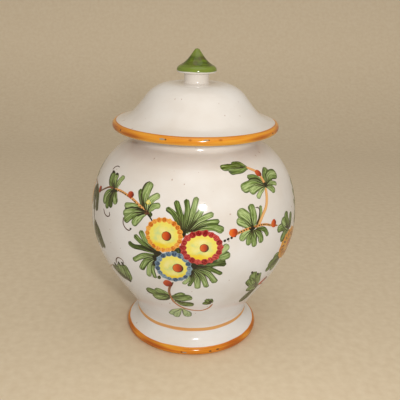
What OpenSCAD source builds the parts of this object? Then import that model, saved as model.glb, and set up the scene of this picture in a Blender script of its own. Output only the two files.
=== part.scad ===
// Covered ceramic jar: a thrown, high-shouldered body on a flared foot,
// closed by a bell-shaped lid with a locating ring and a pointed knob.
// Every piece is turned about the upright axis; z = 0 is the floor.

/* [Foot] */
// Diameter of the foot across its rolled edge
foot_d = 144; // [130:1:170]
// Height of the foot, from the floor to the seam under the body
foot_h = 26; // [20:0.5:36]
// Radius of the foot's rolled edge
foot_roll_r = 4.2; // [2.5:0.1:6]
// Width of the flat ring that the foot stands on
foot_land = 8; // [4:0.5:12]
// Wall of the foot at the seam
foot_wall = 9; // [5:0.5:14]
// How far the foot runs straight down from the seam before it flares
foot_pull = 13; // [4:0.5:16]
// How far the flare runs on into the rolled edge
foot_flare_pull = 8; // [2:0.5:12]
// Slope, from upright, at which the flare meets the rolled edge
foot_flare_angle = 50; // [35:1:65]

/* [Body] */
// Diameter of the waist, where the body is luted to the foot
waist_d = 120; // [100:1:130]
// Height of the body, from the seam to the foot of the neck
body_h = 184.5; // [160:0.5:220]
// Greatest diameter of the belly
belly_d = 212.6; // [180:0.2:240]
// Height of the belly's widest point above the seam
belly_h = 106.5; // [90:0.5:125]
// Thickness of the thrown wall
body_wall = 6.5; // [4:0.25:9]
// Thickness of the floor inside
floor_t = 9; // [5:0.5:14]
// Radius of the bend between the floor and the wall inside
floor_round = 16; // [6:0.5:24]
// How far the wall runs straight up from the waist
waist_pull = 18.5; // [8:0.5:26]
// How far the belly runs straight below its widest point
belly_pull = 49; // [30:0.5:60]
// How far the belly runs straight above its widest point
shoulder_rise = 58.5; // [40:0.5:66]
// How far the shoulder runs straight down from the neck
shoulder_pull = 8.5; // [4:0.5:20]
// Slope of the shoulder, from upright, where it meets the neck
shoulder_angle = 66; // [55:1:72]

/* [Neck] */
// Outside diameter of the neck
neck_d = 120; // [100:1:130]
// Height of the neck, from the shoulder to the flat of its rim
neck_h = 21.5; // [16:0.5:28]
// Wall of the neck
neck_wall = 6.5; // [4:0.25:9]
// Radius of the bend between the shoulder and the neck
neck_fillet = 4; // [2:0.25:6]
// Rounding of the rim's two edges
rim_round = 1.5; // [0.5:0.1:2]

/* [Lid] */
// Diameter of the lid across its rolled edge
lid_d = 166.8; // [156:0.2:190]
// Radius of the lid's rolled edge
lid_roll_r = 4; // [2.5:0.1:5.5]
// How far the rolled edge hangs below the seat on the rim
lid_drop = 9.2; // [5:0.1:12]
// Height of the crown above the seat
crown_h = 35; // [30:0.5:45]
// Diameter of the flat crown
crown_d = 49.5; // [40:0.5:58]
// Radius of the bend from the crown to the flank
crown_round = 31.5; // [24:0.5:36]
// Thickness of the lid's wall
lid_wall = 6; // [4:0.25:8]
// Slope of the flank, from upright, just below the crown
flank_angle = 36.5; // [30:0.5:42]
// How far the flank runs straight below the crown
flank_pull = 24.5; // [16:0.5:30]
// Slope of the brim, from upright, where it meets the rolled edge
brim_angle = 76; // [66:1:84]
// How far the brim runs straight in from the rolled edge
brim_pull = 13.5; // [8:0.5:18]
// How far the lid's seat reaches past the outside of the neck
seat_reach = 3; // [1:0.25:5]

/* [Locating ring] */
// Depth of the ring that drops into the neck
ring_h = 16; // [8:0.5:24]
// Wall of the ring
ring_wall = 5; // [3:0.25:7]
// Gap all round between the ring and the neck
ring_gap = 2; // [0.5:0.1:3]
// How much the ring narrows towards its lower edge
ring_taper = 1; // [0:0.1:2]

/* [Finial] */
// Diameter of the finial's stem
stem_d = 24.4; // [18:0.2:30]
// Height of the stem, from the crown to the underside of the knob
stem_h = 10.5; // [7:0.25:16]
// Radius of the bend round the foot of the stem
stem_fillet = 2; // [0.5:0.1:3]
// Diameter of the knob
knob_d = 39.4; // [34:0.2:46]
// Height of the knob, from its underside to its tip
knob_h = 22.5; // [18:0.25:30]
// Height of the knob's widest ring above its underside
knob_edge_h = 2; // [1:0.1:3]
// How far the knob's rounded edge swells straight above its widest ring
knob_swell = 3.2; // [2:0.1:4.5]
// How far in from the widest ring the knob's flank hollows
knob_bend_in = 4.1; // [3:0.1:6]
// Height of that hollow's foot above the knob's underside
knob_bend_h = 7.2; // [6:0.1:10]
// Slope of the flank, from upright, at the hollow's foot
knob_bend_angle = 61; // [50:1:70]
// How far the hollow runs on towards the tip
knob_pull = 7; // [4:0.25:9]
// Slope of the flank, from upright, just below the tip
tip_angle = 36; // [28:1:42]
// Radius of the knob's blunt tip
tip_r = 3.2; // [1.5:0.1:4]

/* [Hidden] */
$fn = 128;

// Heights of the joints between the pieces
seam_z = foot_h;
neck_z = seam_z + body_h;
seat_z = neck_z + neck_h;
crown_z = seat_z + crown_h;
knob_z = crown_z + stem_h;

// Radii that more than one piece depends on
waist_r = waist_d / 2;
neck_r = neck_d / 2;
mouth_r = neck_r - neck_wall;
ring_r = mouth_r - ring_gap;
hollow_r = ring_r - ring_wall;

// Points along each long curve and each rounded edge
curve_steps = 24;
edge_steps = 10;

glaze = [0.92, 0.88, 0.83];
bare_clay = [0.84, 0.68, 0.54];
leaf_green = [0.43, 0.51, 0.22];

// Direction at an angle from straight up, leaning outwards
function leaning(angle) = [sin(angle), cos(angle)];

// A point of a cubic curve, p[0] to p[3]
function curve_point(p, t) =
    pow(1 - t, 3) * p[0] + 3 * t * pow(1 - t, 2) * p[1]
    + 3 * t * t * (1 - t) * p[2] + pow(t, 3) * p[3];

// A cubic curve without its first point, so that curves chain
function curve(p, steps = curve_steps) =
    [for (i = [1 : steps]) curve_point(p, i / steps)];

// An arc about a centre, from one angle to another
function arc(centre, r, from, to, steps = edge_steps) =
    [for (i = [0 : steps])
        let (a = from + (to - from) * i / steps) centre + r * [cos(a), sin(a)]];

function reversed(path) = [for (i = [len(path) - 1 : -1 : 0]) path[i]];

// A path moved to its left by a wall's thickness
function inset(path, wall) =
    [for (i = [0 : len(path) - 1])
        let (ahead = path[min(i + 1, len(path) - 1)],
             behind = path[max(i - 1, 0)],
             along = (ahead - behind) / norm(ahead - behind))
        path[i] + wall * [-along[1], along[0]]];

// The body's outside, from the waist up to the foot of the neck
belly = [belly_d / 2, seam_z + belly_h];
shoulder_end = [neck_r + neck_fillet, neck_z];
body_outside = concat(
    [[waist_r, seam_z]],
    curve([[waist_r, seam_z], [waist_r, seam_z + waist_pull],
           belly - [0, belly_pull], belly]),
    curve([belly, belly + [0, shoulder_rise],
           shoulder_end - shoulder_pull * leaning(-shoulder_angle), shoulder_end]));

// The bend from the shoulder into the neck, outside and inside
function neck_bend(start, r) =
    let (corner = [r, start[1] + (start[0] - r) / tan(shoulder_angle)])
    curve([start, (start + corner) / 2, corner, [r, neck_z + 2 * neck_fillet]], edge_steps);

module jar_body() {
    wall_inside = inset(body_outside, body_wall);
    floor_z = seam_z + floor_t;
    wall_up = [for (p = wall_inside) if (p[1] > floor_z + floor_round) p];
    wall_slope = (wall_up[1] - wall_up[0]) / norm(wall_up[1] - wall_up[0]);
    floor_bend = curve([[0, floor_z], [wall_up[0][0] - floor_round, floor_z],
                        wall_up[0] - floor_round * wall_slope, wall_up[0]]);
    shoulder_inside = wall_inside[len(wall_inside) - 1];
    inside = concat([[0, floor_z]], floor_bend, wall_up, neck_bend(shoulder_inside, mouth_r));
    rim = concat(
        arc([neck_r - rim_round, seat_z - rim_round], rim_round, 0, 90),
        arc([mouth_r + rim_round, seat_z - rim_round], rim_round, 90, 180));
    color(glaze) rotate_extrude()
        polygon(concat([[0, seam_z]], body_outside, neck_bend(shoulder_end, neck_r), rim,
                       reversed(inside)));
}

module foot() {
    roll = [foot_d / 2 - foot_roll_r, foot_roll_r];
    roll_edge = arc(roll, foot_roll_r, foot_flare_angle, -90);
    seam_in = waist_r - foot_wall;
    flare = curve([[waist_r, seam_z], [waist_r, seam_z - foot_pull],
                   roll_edge[0] + foot_flare_pull * leaning(-foot_flare_angle), roll_edge[0]]);
    underside = curve([[roll[0] - foot_land, 0], [seam_in, foot_roll_r],
                       [seam_in, seam_z - foot_pull], [seam_in, seam_z]]);
    color(glaze) rotate_extrude()
        polygon(concat([[waist_r, seam_z]], flare, roll_edge,
                       [[roll[0] - foot_land, 0]], underside));
}

module lid_dome() {
    crown_r = crown_d / 2;
    roll = [lid_d / 2 - lid_roll_r, seat_z - lid_drop + lid_roll_r];
    roll_edge = arc(roll, lid_roll_r, brim_angle, -135, 2 * edge_steps);
    crown_bend = arc([crown_r, crown_z - crown_round], crown_round, 90, flank_angle);
    flank_top = crown_bend[edge_steps];
    outside = concat(crown_bend,
        curve([flank_top, flank_top - flank_pull * leaning(-flank_angle),
               roll_edge[0] + brim_pull * leaning(-brim_angle), roll_edge[0]]));
    under_roll = roll_edge[len(roll_edge) - 1];
    seat_edge = [neck_r + seat_reach, seat_z];
    brim_under = curve([under_roll, under_roll + lid_roll_r * leaning(-45),
                        seat_edge + [lid_roll_r, 0], seat_edge], edge_steps);
    wall_inside = inset(reversed(outside), lid_wall);
    hollow = [for (p = wall_inside) if (p[0] < hollow_r && p[1] > seat_z) p];
    color(glaze) rotate_extrude()
        polygon(concat([[0, crown_z]], outside, roll_edge, brim_under,
                       [[hollow_r, seat_z]], hollow, [[0, crown_z - lid_wall]]));
}

module lid_ring() {
    edge_r = ring_wall / 4;
    low_z = seat_z - ring_h + edge_r;
    color(bare_clay) rotate_extrude()
        polygon(concat([[hollow_r, seat_z], [ring_r, seat_z]],
                       reversed(arc([ring_r - ring_taper - edge_r, low_z], edge_r, -90, 0)),
                       arc([hollow_r + edge_r, low_z], edge_r, 270, 180)));
}

module finial() {
    stem_r = stem_d / 2;
    edge = [knob_d / 2, knob_z + knob_edge_h];
    tip_z = knob_z + knob_h;
    waist_z = crown_z + stem_h / 2;
    tip = arc([0, tip_z - tip_r], tip_r, tip_angle, 90);
    bend = [edge[0] - knob_bend_in, knob_z + knob_bend_h];
    bend_up = leaning(-knob_bend_angle);
    color(leaf_green) rotate_extrude()
        polygon(concat(
            [[0, crown_z], [stem_r + stem_fillet, crown_z]],
            curve([[stem_r + stem_fillet, crown_z], [stem_r, crown_z],
                   [stem_r, crown_z + stem_fillet], [stem_r, waist_z]], edge_steps),
            curve([[stem_r, waist_z], [stem_r, knob_z - stem_fillet],
                   [stem_r, knob_z], [stem_r + stem_fillet, knob_z]], edge_steps),
            curve([[edge[0] - knob_edge_h, knob_z], [edge[0] - knob_edge_h / 3, knob_z],
                   [edge[0], knob_z + knob_edge_h / 3], edge], edge_steps),
            curve([edge, edge + [0, knob_swell], bend - knob_bend_in / 2 * bend_up, bend], edge_steps),
            curve([bend, bend + knob_pull * bend_up,
                   tip[0] - knob_pull * leaning(-tip_angle), tip[0]]), tip));
}

jar_body();
foot();
lid_dome();
lid_ring();
finial();
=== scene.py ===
import math

import bpy
import numpy as np
from mathutils import Matrix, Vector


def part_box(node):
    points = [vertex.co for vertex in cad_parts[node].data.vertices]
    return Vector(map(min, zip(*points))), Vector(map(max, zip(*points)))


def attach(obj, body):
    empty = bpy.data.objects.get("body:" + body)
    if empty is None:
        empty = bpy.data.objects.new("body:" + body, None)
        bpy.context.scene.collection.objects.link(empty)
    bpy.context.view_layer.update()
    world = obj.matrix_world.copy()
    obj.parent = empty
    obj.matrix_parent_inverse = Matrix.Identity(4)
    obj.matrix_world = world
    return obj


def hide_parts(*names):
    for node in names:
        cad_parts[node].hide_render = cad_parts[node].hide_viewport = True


# A covered jar of painted tin-glaze ware. It stands on z = 0 with its painted front towards -Y.
# Lengths are millimetres until a mesh is made, and angles are degrees: 0 is the front and
# positive angles go round to the right.

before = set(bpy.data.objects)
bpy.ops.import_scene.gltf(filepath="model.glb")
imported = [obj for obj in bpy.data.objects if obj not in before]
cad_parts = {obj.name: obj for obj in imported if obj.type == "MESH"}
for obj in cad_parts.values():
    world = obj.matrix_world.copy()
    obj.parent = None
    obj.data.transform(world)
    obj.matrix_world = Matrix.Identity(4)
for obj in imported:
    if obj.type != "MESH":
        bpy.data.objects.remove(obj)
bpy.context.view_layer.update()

MM = 0.001


def sizes_of(solid):
    """Greatest radius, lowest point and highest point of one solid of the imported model."""
    low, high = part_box(solid)
    return high.x / MM, low.z / MM, high.z / MM


belly_r, seam_z, rim_z = sizes_of("jar_body")
foot_r, _, _ = sizes_of("foot")
lid_r, lid_low_z, crown_z = sizes_of("lid_dome")
ring_r, ring_low_z, _ = sizes_of("lid_ring")
knob_r, _, tip_z = sizes_of("finial")


# Outlines that the pieces are turned to, each a path of (radius, height)

WAIST_R = 60.0
WAIST_PULL = 18.5
BELLY_RISE = 106.5
BELLY_PULL = 49.0
SHOULDER_RISE = 58.5
SHOULDER_PULL = 8.5
WALL = 6.5
FLOOR = 9.0
FLOOR_ROUND = 16.0
NECK_R = 60.0
NECK_H = 21.5
NECK_BEND = 4.0
SHOULDER_SLOPE = 66.0
RIM_ROUND = 1.5
MOUTH_R = NECK_R - WALL

FOOT_ROLL = 4.2
FOOT_LAND = 8.0
FOOT_WALL = 9.0
FOOT_PULL = 13.0
FLARE_SLOPE = 50.0
FLARE_PULL = 8.0

LID_ROLL = 4.0
LID_WALL = 6.0
CROWN_R = 24.75
CROWN_ROUND = 31.5
FLANK_SLOPE = 36.5
FLANK_PULL = 24.5
BRIM_SLOPE = 76.0
BRIM_PULL = 13.5
SEAT_R = 63.0
RING_WALL = 5.0
RING_TAPER = 1.0

STEM_R = 12.2
STEM_H = 10.5
STEM_BEND = 2.0
KNOB_EDGE = 2.0
KNOB_SWELL = 3.2
KNOB_BEND_IN = 4.1
KNOB_BEND_H = 7.2
KNOB_BEND_SLOPE = 61.0
KNOB_PULL = 7.0
TIP_SLOPE = 36.0
TIP_R = 3.2


def curve(start, leave, arrive, end, steps=24):
    """A cubic curve from start to end, pulled towards its two handles."""
    t = np.linspace(0, 1, steps + 1)[:, None]
    shares = ((1 - t) ** 3, 3 * t * (1 - t) ** 2, 3 * t**2 * (1 - t), t**3)
    return sum(share * np.array(p, float) for share, p in zip(shares, (start, leave, arrive, end)))


def arc(centre, r, start, stop, steps=12):
    turn = np.radians(np.linspace(start, stop, steps + 1))
    return np.array(centre) + r * np.column_stack((np.cos(turn), np.sin(turn)))


def leaning(angle):
    """A step of one at an angle from straight up, outwards if the angle is positive."""
    return np.array((math.sin(math.radians(angle)), math.cos(math.radians(angle))))


def outline(*stretches):
    """The stretches as one path, without the points that repeat where they meet."""
    path = np.vstack([np.atleast_2d(s) for s in stretches])
    step = np.linalg.norm(np.diff(path, axis=0), axis=1)
    return path[np.concatenate(([True], step > 0.001))]


def inset(path, wall):
    """The path moved to its left by a wall's thickness."""
    along = np.gradient(path, axis=0)
    along /= np.linalg.norm(along, axis=1)[:, None]
    return path + wall * np.column_stack((-along[:, 1], along[:, 0]))


def jar_outside():
    belly = np.array((belly_r, seam_z + BELLY_RISE))
    neck_foot = np.array((NECK_R + NECK_BEND, rim_z - NECK_H))
    lower = curve((WAIST_R, seam_z), (WAIST_R, seam_z + WAIST_PULL), belly - (0, BELLY_PULL), belly, 48)
    upper = curve(belly, belly + (0, SHOULDER_RISE),
                  neck_foot - SHOULDER_PULL * leaning(-SHOULDER_SLOPE), neck_foot, 48)
    return outline(lower, upper)


def neck_bend(start, r):
    corner = np.array((r, start[1] + (start[0] - r) / math.tan(math.radians(SHOULDER_SLOPE))))
    return curve(start, (start + corner) / 2, corner, (r, rim_z - NECK_H + 2 * NECK_BEND), 12)


def jar_outline():
    outside = jar_outside()
    inside = inset(outside, WALL)
    floor_z = seam_z + FLOOR
    wall_up = inside[inside[:, 1] > floor_z + FLOOR_ROUND]
    climb = (wall_up[1] - wall_up[0]) / np.linalg.norm(wall_up[1] - wall_up[0])
    bend = curve((0, floor_z), (wall_up[0][0] - FLOOR_ROUND, floor_z),
                 wall_up[0] - FLOOR_ROUND * climb, wall_up[0])
    lining = outline(bend, wall_up, neck_bend(inside[-1], MOUTH_R))
    rim_low = rim_z - RIM_ROUND
    return outline((0, seam_z), outside, neck_bend(outside[-1], NECK_R),
                   arc((NECK_R - RIM_ROUND, rim_low), RIM_ROUND, 0, 90),
                   arc((MOUTH_R + RIM_ROUND, rim_low), RIM_ROUND, 90, 180), lining[::-1])


def foot_outline():
    roll = np.array((foot_r - FOOT_ROLL, FOOT_ROLL))
    rolled = arc(roll, FOOT_ROLL, -90, FLARE_SLOPE)
    inner_r = WAIST_R - FOOT_WALL
    underside = curve((inner_r, seam_z), (inner_r, seam_z - FOOT_PULL),
                      (inner_r, FOOT_ROLL), (roll[0] - FOOT_LAND, 0))
    flare = curve(rolled[-1], rolled[-1] + FLARE_PULL * leaning(-FLARE_SLOPE),
                  (WAIST_R, seam_z - FOOT_PULL), (WAIST_R, seam_z))
    return outline(underside, rolled, flare, (inner_r, seam_z))


def lid_outline():
    roll = np.array((lid_r - LID_ROLL, lid_low_z + LID_ROLL))
    rolled = arc(roll, LID_ROLL, BRIM_SLOPE, -135, 28)
    crown = arc((CROWN_R, crown_z - CROWN_ROUND), CROWN_ROUND, 90, FLANK_SLOPE)
    flank = curve(crown[-1], crown[-1] - FLANK_PULL * leaning(-FLANK_SLOPE),
                  rolled[0] + BRIM_PULL * leaning(-BRIM_SLOPE), rolled[0], 40)
    outside = outline(crown, flank)
    under = curve(rolled[-1], rolled[-1] + LID_ROLL * leaning(-45),
                  (SEAT_R + LID_ROLL, rim_z), (SEAT_R, rim_z), 12)
    hollow_r = ring_r - RING_WALL
    lining = inset(outside[::-1], LID_WALL)
    hollow = lining[(lining[:, 0] < hollow_r) & (lining[:, 1] > rim_z)]
    path = outline((0, crown_z), outside, rolled, under, (hollow_r, rim_z), hollow,
                   (0, crown_z - LID_WALL))
    return path[::-1]


def ring_outline():
    inner_r = ring_r - RING_WALL
    edge = RING_WALL / 4
    low = ring_low_z + edge
    return outline((inner_r, rim_z), arc((inner_r + edge, low), edge, 180, 270),
                   arc((ring_r - RING_TAPER - edge, low), edge, -90, 0),
                   (ring_r, rim_z), (inner_r, rim_z))


def knob_outline():
    knob_z = crown_z + STEM_H
    mid_z = crown_z + STEM_H / 2
    edge = np.array((knob_r, knob_z + KNOB_EDGE))
    tip = arc((0, tip_z - TIP_R), TIP_R, TIP_SLOPE, 90)
    bend = np.array((knob_r - KNOB_BEND_IN, knob_z + KNOB_BEND_H))
    bend_up = leaning(-KNOB_BEND_SLOPE)
    return outline(
        (0, crown_z),
        curve((STEM_R + STEM_BEND, crown_z), (STEM_R, crown_z),
              (STEM_R, crown_z + STEM_BEND), (STEM_R, mid_z), 12),
        curve((STEM_R, mid_z), (STEM_R, knob_z - STEM_BEND),
              (STEM_R, knob_z), (STEM_R + STEM_BEND, knob_z), 12),
        curve((knob_r - KNOB_EDGE, knob_z), (knob_r - KNOB_EDGE / 3, knob_z),
              (knob_r, knob_z + KNOB_EDGE / 3), edge, 12),
        curve(edge, edge + (0, KNOB_SWELL), bend - KNOB_BEND_IN / 2 * bend_up, bend, 16),
        curve(bend, bend + KNOB_PULL * bend_up, tip[0] - KNOB_PULL * leaning(-TIP_SLOPE), tip[0], 24), tip)


# Node helpers

def node(tree, kind, inputs=None, **settings):
    """A new node: settings first, then each input linked to a socket or given a value."""
    made = tree.nodes.new(kind)
    for name, value in settings.items():
        setattr(made, name, value)
    for key, value in (inputs or {}).items():
        if isinstance(value, bpy.types.NodeSocket):
            tree.links.new(value, made.inputs[key])
        else:
            made.inputs[key].default_value = value
    return made


def calc(tree, operation, *values):
    return node(tree, "ShaderNodeMath", dict(enumerate(values)), operation=operation).outputs[0]


def times(tree, *values):
    return calc(tree, "MULTIPLY", *values)


def plus(tree, *values):
    return calc(tree, "ADD", *values)


def minus(tree, *values):
    return calc(tree, "SUBTRACT", *values)


def larger(tree, *values):
    return calc(tree, "MAXIMUM", *values)


def joined(tree, x, y, z):
    return node(tree, "ShaderNodeCombineXYZ", {"X": x, "Y": y, "Z": z}).outputs[0]


def parted(tree, vector):
    return node(tree, "ShaderNodeSeparateXYZ", {0: vector}).outputs


def length_of(tree, x, y):
    flat = joined(tree, x, y, 0.0)
    return node(tree, "ShaderNodeVectorMath", {0: flat}, operation="LENGTH").outputs["Value"]


def round_axis(tree, r, turn, z):
    """The place at a radius, a turn from the front and a height."""
    across = times(tree, r, calc(tree, "SINE", turn))
    back = times(tree, r, calc(tree, "COSINE", turn))
    return joined(tree, across, times(tree, back, -1.0), z)


# Geometry Nodes trees

def start_tree(name, sockets):
    tree = bpy.data.node_groups.new(name, "GeometryNodeTree")
    tree.interface.new_socket("Geometry", in_out="INPUT", socket_type="NodeSocketGeometry")
    for label, kind in sockets.items():
        tree.interface.new_socket(label, in_out="INPUT", socket_type="NodeSocket" + kind)
    tree.interface.new_socket("Geometry", in_out="OUTPUT", socket_type="NodeSocketGeometry")
    return tree, node(tree, "NodeGroupInput").outputs


def end_tree(tree, geometry, finish):
    real = node(tree, "GeometryNodeRealizeInstances", {"Geometry": geometry}).outputs[0]
    dressed = node(tree, "GeometryNodeSetMaterial", {"Geometry": real, "Material": finish})
    node(tree, "NodeGroupOutput", {"Geometry": dressed.outputs[0]})
    return tree


def wheel_tree():
    """Turns an outline, drawn as points in order, right round the upright axis."""
    tree, given = start_tree("turned_on_the_wheel", {"Steps Round": "Int", "Finish": "Material"})
    size = node(tree, "GeometryNodeAttributeDomainSize", {"Geometry": given["Geometry"]})
    rows = size.outputs["Point Count"]
    columns = plus(tree, given["Steps Round"], 1)
    sheet = node(tree, "GeometryNodeMeshGrid", {"Vertices X": columns, "Vertices Y": rows})
    index = node(tree, "GeometryNodeInputIndex").outputs[0]
    row = calc(tree, "MODULO", index, rows)
    column = calc(tree, "FLOOR", calc(tree, "DIVIDE", index, rows))
    place = node(tree, "GeometryNodeInputPosition").outputs[0]
    on_outline = node(tree, "GeometryNodeSampleIndex",
                      {"Geometry": given["Geometry"], "Value": place, "Index": row},
                      data_type="FLOAT_VECTOR", domain="POINT")
    spot = parted(tree, on_outline.outputs[0])
    turn = times(tree, calc(tree, "DIVIDE", column, given["Steps Round"]), 2 * math.pi)
    target = round_axis(tree, spot["X"], turn, spot["Z"])
    mapped = node(tree, "GeometryNodeStoreNamedAttribute",
                  {"Geometry": sheet.outputs["Mesh"], "Name": "UVMap",
                   "Value": sheet.outputs["UV Map"]}, data_type="FLOAT2", domain="CORNER")
    bent = node(tree, "GeometryNodeSetPosition", {"Geometry": mapped.outputs[0], "Position": target})
    closed = node(tree, "GeometryNodeMergeByDistance",
                  {"Geometry": bent.outputs[0], "Distance": 0.01 * MM})
    smooth = node(tree, "GeometryNodeSetShadeSmooth", {"Geometry": closed.outputs[0]})
    return end_tree(tree, smooth.outputs[0], given["Finish"])


def named(tree, name):
    return node(tree, "GeometryNodeInputNamedAttribute", {"Name": name},
                data_type="FLOAT").outputs["Attribute"]


def wall_tree():
    """Lays flat brush strokes on the jar's wall. Each point carries the place that its stroke was
    drawn about, as a turn round the jar and a length up the wall; x and y are measured from that
    place, and z is the height above the glaze."""
    tree, given = start_tree("laid_on_the_wall", {"Wall": "Object", "Finish": "Material"})
    wall = node(tree, "GeometryNodeObjectInfo", {"Object": given["Wall"]}).outputs["Geometry"]
    line = node(tree, "GeometryNodeMeshToCurve", {"Mesh": wall}).outputs["Curve"]
    flat = parted(tree, node(tree, "GeometryNodeInputPosition").outputs[0])
    length = plus(tree, named(tree, "place_length"), flat["Y"])
    sample = node(tree, "GeometryNodeSampleCurve", {"Curves": line, "Length": length}, mode="LENGTH")
    spot = parted(tree, sample.outputs["Position"])
    climb = parted(tree, sample.outputs["Tangent"])
    turn = plus(tree, named(tree, "place_turn"), calc(tree, "DIVIDE", flat["X"], spot["X"]))
    r = plus(tree, spot["X"], times(tree, flat["Z"], climb["Z"]))
    z = minus(tree, spot["Z"], times(tree, flat["Z"], climb["X"]))
    target = round_axis(tree, r, turn, z)
    laid = node(tree, "GeometryNodeSetPosition", {"Geometry": given["Geometry"], "Position": target})
    smooth = node(tree, "GeometryNodeSetShadeSmooth", {"Geometry": laid.outputs[0]})
    return end_tree(tree, smooth.outputs[0], given["Finish"])


def petal_tree():
    """Repeats one petal dab round an oval, each a little uneven and every second one higher."""
    tree, given = start_tree("ring_of_petals", {
        "Count": "Int", "Half Width": "Float", "Half Height": "Float", "Overlap": "Float",
        "Seed": "Int", "Finish": "Material"})
    ring = node(tree, "GeometryNodeMeshCircle", {"Vertices": given["Count"], "Radius": 1.0})
    index = node(tree, "GeometryNodeInputIndex").outputs[0]
    spot = parted(tree, node(tree, "GeometryNodeInputPosition").outputs[0])
    lift = times(tree, calc(tree, "MODULO", index, 2.0), given["Overlap"])
    target = joined(tree, times(tree, spot["X"], given["Half Width"]),
                    times(tree, spot["Y"], given["Half Height"]), lift)
    oval = node(tree, "GeometryNodeSetPosition",
                {"Geometry": ring.outputs["Mesh"], "Position": target}).outputs[0]

    def uneven(low, high, salt):
        seed = plus(tree, given["Seed"], salt)
        made = node(tree, "FunctionNodeRandomValue", {"Seed": seed}, data_type="FLOAT")
        made.inputs[2].default_value = low
        made.inputs[3].default_value = high
        return made.outputs[1]

    outward = calc(tree, "ARCTAN2", spot["Y"], spot["X"])
    facing = joined(tree, 0.0, 0.0, plus(tree, outward, uneven(-0.22, 0.22, 1)))
    grown = joined(tree, uneven(0.88, 1.14, 2), uneven(0.86, 1.12, 3), 1.0)
    petals = node(tree, "GeometryNodeInstanceOnPoints",
                  {"Points": oval, "Instance": given["Geometry"], "Rotation": facing, "Scale": grown})
    tinted = node(tree, "GeometryNodeStoreNamedAttribute",
                  {"Geometry": petals.outputs[0], "Name": "tint", "Value": uneven(0.0, 1.0, 4)},
                  data_type="FLOAT", domain="INSTANCE")
    return end_tree(tree, tinted.outputs[0], given["Finish"])


def add_tree(obj, tree, values):
    """Puts a tree on an object, with each named input set by its socket's identifier."""
    step = obj.modifiers.new(tree.name, "NODES")
    step.node_group = tree
    for item in tree.interface.items_tree:
        if item.item_type == "SOCKET" and item.in_out == "INPUT" and item.name in values:
            step[item.identifier] = values[item.name]


def settle(obj, sharp=40):
    """Makes what the trees give into the object's own plain mesh."""
    view = bpy.context.evaluated_depsgraph_get()
    mesh = bpy.data.meshes.new_from_object(obj.evaluated_get(view), preserve_all_data_layers=True,
                                           depsgraph=view)
    obj.modifiers.clear()
    obj.data = mesh
    for helper in ("place_turn", "place_length"):
        if helper in mesh.attributes:
            mesh.attributes.remove(mesh.attributes[helper])
    mesh.set_sharp_from_angle(angle=math.radians(sharp))
    return obj


def add_to_scene(obj):
    bpy.context.scene.collection.objects.link(obj)
    return obj


def new_object(name, points, edges=(), faces=()):
    mesh = bpy.data.meshes.new(name)
    mesh.from_pydata([tuple(p) for p in points], list(edges), list(faces))
    return add_to_scene(bpy.data.objects.new(name, mesh))


def drawn_line(name, path):
    """An outline as an object: its points, in order, joined by edges in the XZ plane."""
    points = [(r * MM, 0.0, z * MM) for r, z in path]
    return new_object(name, points, [(i, i + 1) for i in range(len(points) - 1)])


STEPS_ROUND = 288
wheel = wheel_tree()


def thrown(name, path, finish):
    piece = drawn_line(name, path)
    add_tree(piece, wheel, {"Steps Round": STEPS_ROUND, "Finish": finish})
    return settle(piece)


# Finishes

def rgb(red, green, blue):
    """A colour as it looks on a screen, made linear."""
    def linear(v):
        v /= 255
        return v / 12.92 if v <= 0.04045 else ((v + 0.055) / 1.055) ** 2.4
    return (linear(red), linear(green), linear(blue), 1.0)


def new_finish(name, roughness):
    finish = bpy.data.materials.new(name)
    finish.use_nodes = True
    shader = finish.node_tree.nodes["Principled BSDF"]
    shader.inputs["Roughness"].default_value = roughness
    return finish, finish.node_tree, shader


def colour_with(tree, shader, colour):
    tree.links.new(colour, shader.inputs["Base Color"])


def noise(tree, vector, scale, detail=2.0):
    return node(tree, "ShaderNodeTexNoise", {"Vector": vector, "Scale": scale, "Detail": detail}).outputs[0]


def ramp(tree, value, *stops):
    made = node(tree, "ShaderNodeValToRGB", {0: value})
    points = made.color_ramp.elements
    while len(points) < len(stops):
        points.new(0.5)
    for point, (place, colour) in zip(points, stops):
        point.position = place
        point.color = colour
    return made.outputs[0]


def mix(tree, amount, first, second):
    return node(tree, "ShaderNodeMix", {0: amount, 6: first, 7: second}, data_type="RGBA").outputs[2]


def step_between(tree, value, low, high):
    """0 below low and 1 above high, or the other way round if low is the greater."""
    return node(tree, "ShaderNodeMapRange", {"Value": value, "From Min": low, "From Max": high},
                interpolation_type="SMOOTHSTEP").outputs[0]


UNROLL_R = 90.0


class Wheel:
    """Where a point of a turned piece lies: its radius and height in millimetres, and its turn from
    the front in radians."""

    def __init__(self, tree):
        self.place = node(tree, "ShaderNodeTexCoord").outputs["Object"]
        x, y, z = parted(tree, self.place)
        self.r = times(tree, length_of(tree, x, y), 1 / MM)
        self.z = times(tree, z, 1 / MM)
        self.turn = calc(tree, "ARCTAN2", x, times(tree, y, -1.0))
        self.unrolled = joined(tree, times(tree, self.turn, UNROLL_R), self.z, 0.0)

    def streaks(self, tree, fineness, run):
        """Noise drawn out round the piece, as a brush leaves it on the turning wheel."""
        vector = joined(tree, times(tree, self.turn, run),
                        times(tree, self.r, fineness), times(tree, self.z, fineness))
        return noise(tree, vector, 1.0, 3.0)


def speckle(tree, at, spacing, size, share):
    """Small dots on the unrolled surface, in the given share of the cells."""
    cells = node(tree, "ShaderNodeTexVoronoi", {"Vector": at.unrolled, "Scale": 1 / spacing},
                 voronoi_dimensions="2D")
    pick = parted(tree, cells.outputs["Color"])
    reach = times(tree, pick["Y"], size / spacing)
    inside = calc(tree, "LESS_THAN", cells.outputs["Distance"], reach)
    return times(tree, inside, calc(tree, "LESS_THAN", pick["X"], share))


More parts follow.
